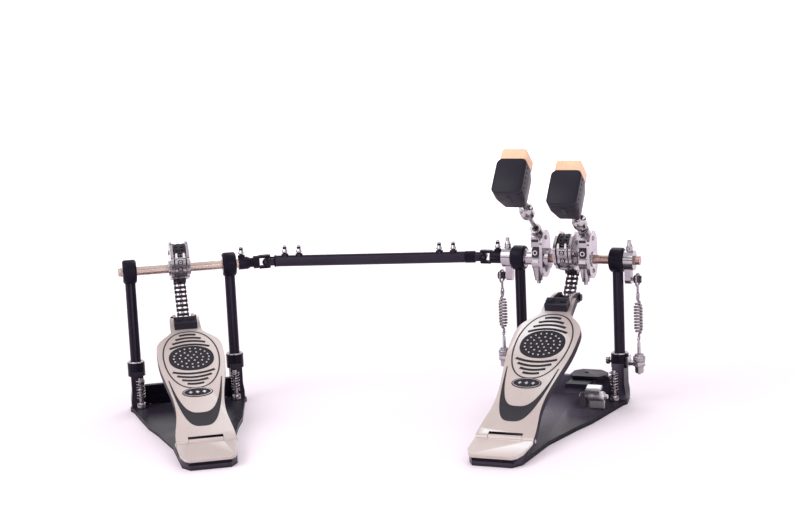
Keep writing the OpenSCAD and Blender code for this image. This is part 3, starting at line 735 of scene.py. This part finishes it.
def hub(side, body):
    """Cast hub with its clamp screw, lock screw and side plate. Its moulded recesses and the gap round the
    rod are painted shade: dark patches, not cut recesses.
    """
    x = HUBS[side]
    rounded(side + "_hub", body, SATIN, 0.8, 3)
    fittings = Shape()
    fittings.washer(1.7, 3.2, -0.5, 1.0, move(x - 1.7, HUB_FRONT, CLAMP_Z) @ turn(90), 32)
    fittings.block((x - 5.6, -15.3, 172.5), (x + 2.2, -13.2, 176.5))
    fittings.lathe([(2.3, -2.4), (2.5, -2), (2.5, 1.6), (3.4, 2)], move(x - 1.6, -3, 147.6), 24)
    fittings.washer(5.8, 9.6, -0.4, 1.4, move(x + HUB_HALF, 0, SHAFT_Z) @ ALONG_X, 40)
    for z in (-20, 20):
        fittings.lathe([(2.9, -0.3), (2.9, 1.0), (2.3, 1.5), (1.4, 1.5), (1.4, 0.4)],
                       move(x + HUB_HALF, 2.5, SHAFT_Z + 5.5 + z) @ ALONG_X, 24)
    fittings.piece(side + "_hub_fittings", body, CHROME, "chrome")
    # Painted shade: dark patches for the shadowed recess at the clamp screw, the slot above it and the gap
    # round the beater rod.
    recess_shade = Shape()
    recess_shade.washer(3.1, 4.3, 36.2, 36.6, ON_BEATER @ move(x, BEATER_OFFSET, 0), 32)
    recess_shade.prism(rounded_box(9, 3.4, 1.2, 4), -0.6, 0.25, move(x - 1.7, -14, CLAMP_Z + 14.7) @ turn(90))
    recess_shade.prism(rounded_box(8.4, 11.5, 1.6, 4), -6, 0.7, move(x - 1.7, -14, CLAMP_Z) @ turn(90))
    recess_shade.piece(side + "_hub_marks", body, INLAY, "black_plastic")
    if side == "left":
        nut = Shape()
        knurled(nut, 12.45, -28.25, -22.35, move(0, 0, SHAFT_Z) @ ALONG_X)
        nut.piece("left_hub_nut", body, SATIN, "chrome")


def beater_stem(side, body, at):
    """The rod and its barrel weight with a grub screw."""
    rod_top = TOPS[side] - HEAD_H / 2 - 0.2
    collar = COLLARS[side]
    half = [(3.1, 10), (6.2, 10), (7.4, 8.6), (8.8, 5.4), (8.95, 4)]
    barrel = [(r, collar - z) for r, z in half] + [(r, collar + z) for r, z in half[::-1]]
    stem = Shape()
    stem.lathe([(2.5, 4), (2.98, 4.6), (2.98, rod_top)], at, 32)
    stem.lathe(barrel, at, 48)
    stem.lathe([(2.6, 7.5), (2.6, 9.6), (1.6, 9.6), (1.6, 8.6)], at @ move(0, 0, collar) @ turn(90), 20)
    stem.piece(side + "_beater_stem", body, CHROME, "chrome", [side + "_beater_rod"])


def beater_head(side, body, at):
    """Moulded shell, its lid with a lip, and the dots down its sides."""
    top = TOPS[side]
    shelf = at @ move(0, (HEAD_FRONT - HEAD_BACK) / 2, top)
    shell = Shape()
    sections = ((-HEAD_H, 26.5, HEAD_DEPTH - 9, 4), (-HEAD_H + 1.2, 28.4, HEAD_DEPTH - 6, 5),
                (-21, HEAD_W - 1.6, HEAD_DEPTH - 1.6, 5), (-18, HEAD_W - 1, HEAD_DEPTH - 1, 5),
                (-5.4, HEAD_W - 1, HEAD_DEPTH - 1, 5), (-5.0, HEAD_W - 3, HEAD_DEPTH - 3, 5),
                (-3, HEAD_W - 3, HEAD_DEPTH - 3, 5))
    shell.loft([level(rounded_box(w, d, r, 6), z) for z, w, d, r in sections], shelf)
    shell.piece(side + "_beater_body", body, PLASTIC, "black_plastic", [side + "_beater_shell"], bevel=0.5)
    plate = Shape()
    plate.loft([level(rounded_box(HEAD_W - inset, HEAD_DEPTH - inset, 7, 8), z) for z, inset in
                ((-4.2, 0.6), (-3.6, 0), (-1.6, 0), (-0.6, 1), (-0.1, 2.8))], shelf)
    plate.piece(side + "_beater_plate", body, PLASTIC, "black_plastic")
    dots = Shape()
    for sign in (-1, 1):
        for i in range(6):
            spot = at @ move(sign * (HEAD_W / 2 - 0.9), -HEAD_BACK + 6 + i * 6.6, top - 9.5)
            dots.lathe([(1.7, 0), (1.7, 0.5), (1.3, 0.7)], spot @ turn(sign * 90, "Y"), 14)
    dots.prism(rounded_box(5, 15, 2.2, 5), -0.4, 0.12, at @ move(0, -HEAD_BACK, top - 18) @ turn(90))
    dots.piece(side + "_beater_dots", body, RUBBER, "black_plastic")


def felt_block(side, body, at):
    """Pressed felt with a softly rounded striking face: depth, inset and corner radius of each section."""
    w, h = HEAD_W - 6, HEAD_H - 9
    sections = ((0, 0, 2.4), (1, 0, 2.4), (FELT_T * 0.55, 0, 2.4), (FELT_T - 2.6, 0.3, 2.4),
                (FELT_T - 1.1, 1.2, 2.4), (FELT_T - 0.4, 2.6, 2.4),
                (FELT_T - 0.1, 6, 1.2), (FELT_T, 10, 1.2))
    pad = Shape()
    pad.loft([[Vector((x, -depth, z)) for x, z in rounded_box(w - 2 * inset, h - 2 * inset, radius, 6)]
              for depth, inset, radius in sections],
             at @ move(0, HEAD_FRONT, TOPS[side] - 1 - h / 2) @ turn(180, "Z"))
    pad.piece(side + "_beater_pad", body, FELT, "felt", [side + "_beater_felt"], smooth=70)


def beater(side):
    body = side + "_beater"
    at = ON_BEATER @ move(HUBS[side], BEATER_OFFSET, 0)
    beater_stem(side, body, at)
    beater_head(side, body, at)
    felt_block(side, body, at)


# ---------------------------------------------------------------- rockers, hooks and return springs

SPRING_X = 86
ARM_Z = SHAFT_Z - 23
EYE_Z = joint_at("right_spring_swing").z / MM
COIL_LOW, COIL_HIGH = 87.4, 124.6
SIDES = {"right": Matrix.Identity(4), "left": Matrix.Scale(-1, 4, X_AXIS)}
EYE_ANGLES = (0.5, 1.1, 1.8, 2.6, 3.4, 4.2)


def circle_path(radius, z):
    """A closed ring of wire in the YZ plane."""
    return [Vector((0, radius * math.sin(t), z + radius * math.cos(t))) for t in
            (2 * math.pi * k / 24 for k in range(24))]


def rocker(side, cam_body):
    """The arm on the cam shaft, with its key bolt and the roller that the hook link hangs on."""
    rounded(side + "_rocker", cam_body, SATIN, 0.7, 3)
    bolt = Shape()
    key_bolt(bolt, SIDES[side] @ move(77, 0, SHAFT_Z + 12.5), 12)
    bolt.piece(side + "_rocker_bolt", cam_body, CHROME, "chrome")
    wheel = Shape()
    for radius, x0, x1 in ((4.6, -4.3, -2.1), (4.3, -1.9, 1.9), (4.6, 2.1, 4.3)):
        wheel.washer(2.1, radius, x0, x1, SIDES[side] @ move(SPRING_X, 0, ARM_Z) @ ALONG_X, 32)
    wheel.piece(side + "_rocker_roller", cam_body, RUBBER, "rubber")


def hook_link(side):
    """Bent wire: a loop that is open round the roller, a shank and a ring for the spring."""
    at = SIDES[side] @ move(SPRING_X)
    half = 7.2
    crown = [(-6.8 * math.cos(t), 156 + 3.6 * math.sin(t)) for t in (0.3, 0.8, 1.2, 1.57, 1.94, 2.34, 2.84)]
    outline = ([(0, 144.6), (-0.75 * half, 146), (-half, 149), (-half, 155)] + crown
               + [(half, 155), (half, 149), (0.75 * half, 146)])
    hook = Shape()
    hook.wire([Vector((0, y, z)) for y, z in outline], 1.35, at, 10, closed=True)
    hook.wire(circle_path(5.1, 132), 0.85, at, 8, closed=True)
    hook.wire([Vector((0, 0, 136.2)), Vector((0, 0, 144.8))], 1.5, at, 10)
    hook.piece(side + "_hook_link", side + "_hook_body", SPRING_STEEL, "chrome", [side + "_hook"])


def coil_narrowing(t):
    """Share of the coil's full radius at a share of its height: its ends are narrower."""
    return min(1, 0.55 + 3.2 * t, 0.55 + 3.2 * (1 - t))


def return_spring(side):
    """The coil with an eye at each end, between its foot and the hook link."""
    coil_path = helix(4.35, COIL_LOW, COIL_HIGH, 10, 22, taper=coil_narrowing)
    top_eye = [Vector((0, 2.2 * math.sin(t), 129.6 - 3.4 * math.cos(t))) for t in EYE_ANGLES]
    foot_eye = [Vector((0, 2.2 * math.sin(t), 82.6 + 3.2 * math.cos(t))) for t in EYE_ANGLES[::-1]]
    coil = Shape()
    coil.wire(foot_eye + coil_path + top_eye, 1.4, SIDES[side] @ move(SPRING_X), 8)
    thing = link(side + "_coil", coil.mesh(side + "_coil"), SPRING_STEEL)
    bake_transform(thing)
    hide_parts(side + "_spring")


def spring_anchors():
    """Eye bolts and knurled nuts on brackets beside the posts, and the wing screw's support block."""
    parts = Shape()
    nuts = Shape()
    bracket_x = POST_X + 8.5
    for mirror in SIDES.values():
        at = mirror @ move(SPRING_X)
        plate = [(bracket_x, -7), (SPRING_X, -7)] + arc(7, -90, 90, 12, (SPRING_X, 0)) + [(bracket_x, 7)]
        parts.prism(plate, 48, 52, mirror)
        parts.block((bracket_x + 1, -8, 45), (bracket_x + 3.5, 8, 58), mirror)
        parts.lathe([(1.6, 36), (2, 36.6), (2, 75.4)], at, 24)
        parts.wire(helix(2.0, 37, 70, 28, 14), 0.3, at, 5)
        parts.wire(circle_path(3.4, EYE_Z), 1.05, at, 8, closed=True)
        knurled(nuts, 7.3, 52.2, 58.5, at, 30)
        nuts.lathe([(5.6, 58.3), (5.6, 60.5), (4.6, 61.4), (2.1, 61.4)], at, 32)
        nuts.lathe([(7.3, 47.9), (7.3, 46.6), (5.4, 45.8), (5.2, 39), (4.6, 38), (2.1, 38)], at, 32)
    parts.block((29, HOOP_SCREW.y - 5, DECK_Z), (35, HOOP_SCREW.y + 5, HOOP_SCREW.z + 5))
    parts.piece("spring_brackets", "root", CHROME, "chrome", ["spring_anchors"], bevel=0.3)
    nuts.piece("spring_nuts", "root", SATIN, "chrome")


# ---------------------------------------------------------------- hoop clamp


def hoop_clamp():
    """The jaw, and the wing screw with one straight wing and one that is bent over."""
    rounded("hoop_jaw", "hoop_jaw_body", BLACK_STEEL, 0.9, 3)
    axis = move(0, HOOP_SCREW.y, HOOP_SCREW.z)
    along = axis @ ALONG_X
    lie = axis @ SECTION_ALONG_X
    screw = Shape()
    screw.lathe([(2.2, 27), (2.7, 27.6), (2.7, 61.6), (2.2, 62)], along, 24)
    screw.wire(helix(2.7, 28, 37, 9, 14), 0.3, along, 5)
    screw.lathe([(4.6, 37.5), (6.3, 38.8), (6.4, 44), (5.6, 47), (6.4, 50), (6.4, 56), (5.2, 58)],
                along, 36)
    screw.prism([(-3.5, 0), (-4, -13.6), (-3.2, -14.3), (-1, -14.2), (2, -2)], 40, 58, lie)
    screw.prism([(-5, 3), (-6.4, 7.6), (-5.6, 8.6), (6.6, 12.3), (7.6, 12), (8.8, 9.2), (1, 6), (2, 2)],
                35.6, 53, lie)
    screw.piece("hoop_wing", "hoop_screw_body", CAST, "chrome", ["hoop_screw"], bevel=0.6)


# ---------------------------------------------------------------- drive rod

BOLT_HEIGHT = 13


def drive_rod():
    """Tube, yokes and crosses, with key bolts that lock the tube's ends and the yokes' shafts."""
    rounded("drive_tube", "drive_tube_body", BLACK_STEEL, 0.4)
    for yoke, body in (("slave_end_yoke", "drive_tube_body"), ("master_end_yoke", "master_end"),
                       ("slave_shaft_yoke", "slave_cam"), ("master_shaft_yoke", "left_cam")):
        rounded(yoke, body, BLACK_STEEL, 0.9, 3)
    for who in ("slave", "master"):
        rounded(who + "_cross", who + "_cross_body", CHAIN, 0.5)
    bolts = Shape()
    for x in (23.5, 41.5, ROD_LENGTH - 55, ROD_LENGTH - 37.5):
        key_bolt(bolts, AT_ROD @ move(x, 0, 6.4), BOLT_HEIGHT)
    bolts.piece("drive_tube_bolts", "drive_tube_body", CHROME, "chrome")
    for who, body, x in (("slave", "slave_cam", 78), ("master", "left_cam", -90)):
        lock = Shape()
        key_bolt(lock, PEDALS[who] @ move(x, 0, SHAFT_Z + 7.6), BOLT_HEIGHT)
        lock.piece(who + "_yoke_bolt", body, CHROME, "chrome")


# ---------------------------------------------------------------- build

SIDE_CAMS = {"right": "master_cam", "left": "left_cam"}

for who, place in PEDALS.items():
    base_and_frame(who, place)
    spurs(who, place)
    footboard(who)
    board_inlays(who)
    chains(who, place)
    cam(who, place)
for side, cam_body in SIDE_CAMS.items():
    hub(side, cam_body)
for side in SIDE_CAMS:
    beater(side)
for side, cam_body in SIDE_CAMS.items():
    rocker(side, cam_body)
    hook_link(side)
    return_spring(side)
spring_anchors()
hoop_clamp()
drive_rod()

# ---------------------------------------------------------------- studio and camera, in metres

FLOOR_HALF = 40
LIGHT_TARGET = Vector((-0.2, -0.05, 0.12))
LIGHTS = (("key", (-1.2, -1.4, 1.9), 1.4, 22), ("fill", (1.6, -1.6, 1.2), 1.2, 9),
          ("back", (-0.3, 1.6, 1.8), 1.5, 15))
WORLD_BANDS = ((0.03, 0.04), (0.2, 0.06), (0.25, 1.0), (0.44, 1.0), (0.5, 0.05), (0.68, 0.06), (0.76, 0.6))


def studio_floor():
    """A pale floor that glows more with distance: painted light that lifts its shadows near the pedals and
    lets it meet the background.
    """
    floor = bpy.data.meshes.new("floor")
    corners = [(x * FLOOR_HALF, y * FLOOR_HALF, 0) for x, y in ((-1, -1), (1, -1), (1, 1), (-1, 1))]
    floor.from_pydata(corners, [], [(0, 1, 2, 3)])
    thing = bpy.data.objects.new("floor", floor)
    bpy.context.scene.collection.objects.link(thing)
    n = Nodes("studio_floor")
    tint = n.noise(0.6, 2)
    n.set(Base_Color=n.mix(tint, rgba(0.86, 0.77, 0.835), rgba(0.88, 0.79, 0.855)))
    n.shader.inputs["Roughness"].default_value = 0.6
    n.shader.inputs["Specular IOR Level"].default_value = 0.2
    # Painted light: the floor glows, faintly near the pedals and strongly far away.
    n.shader.inputs["Emission Color"].default_value = rgba(1, 0.95, 1)
    distance = n.add("ShaderNodeVectorMath", {0: n.place}, operation="LENGTH").outputs["Value"]
    n.set(Emission_Strength=n.ramp(distance, 0.6, 2.4, 0.09, 0.8))
    floor.materials.append(n.material)


def studio_world():
    """Bright and dark bands by height, which give the chrome its contrast."""
    world = bpy.data.worlds.new("studio")
    bpy.context.scene.world = world
    world.use_nodes = True
    tree = world.node_tree
    coordinates = tree.nodes.new("ShaderNodeTexCoord")
    split = tree.nodes.new("ShaderNodeSeparateXYZ")
    ramp = tree.nodes.new("ShaderNodeValToRGB")
    tree.links.new(coordinates.outputs["Generated"], split.inputs[0])
    tree.links.new(split.outputs["Z"], ramp.inputs[0])
    stops = ramp.color_ramp.elements
    stops[0].position, stops[0].color = 0.0, rgba(0.5, 0.48, 0.5)
    stops[1].position, stops[1].color = 1.0, rgba(0.6, 0.58, 0.6)
    for position, grey in WORLD_BANDS:
        stops.new(position).color = rgba(grey, grey * 0.97, grey)
    tree.links.new(ramp.outputs[0], tree.nodes["Background"].inputs[0])
    tree.nodes["Background"].inputs[1].default_value = 1.7


def studio_lights():
    for name, spot, size, power in LIGHTS:
        light = bpy.data.lights.new(name, "AREA")
        light.size = size
        light.energy = power
        lamp = bpy.data.objects.new(name, light)
        bpy.context.scene.collection.objects.link(lamp)
        lamp.location = spot
        aim = LIGHT_TARGET - lamp.location
        lamp.rotation_euler = aim.to_track_quat("-Z", "Y").to_euler()


def camera():
    data = bpy.data.cameras.new("camera")
    data.sensor_width = 36
    data.lens = 79.65
    eye = bpy.data.objects.new("camera", data)
    bpy.context.scene.collection.objects.link(eye)
    spot = Matrix.Translation((0.6313, -2.0337, 0.552))
    eye.matrix_world = spot @ turn(22.76, "Z") @ turn(79.98, "X") @ turn(-2.58, "Z")
    bpy.context.scene.camera = eye


bpy.context.scene.view_settings.view_transform = "Standard"
studio_floor()
studio_world()
studio_lights()
camera()
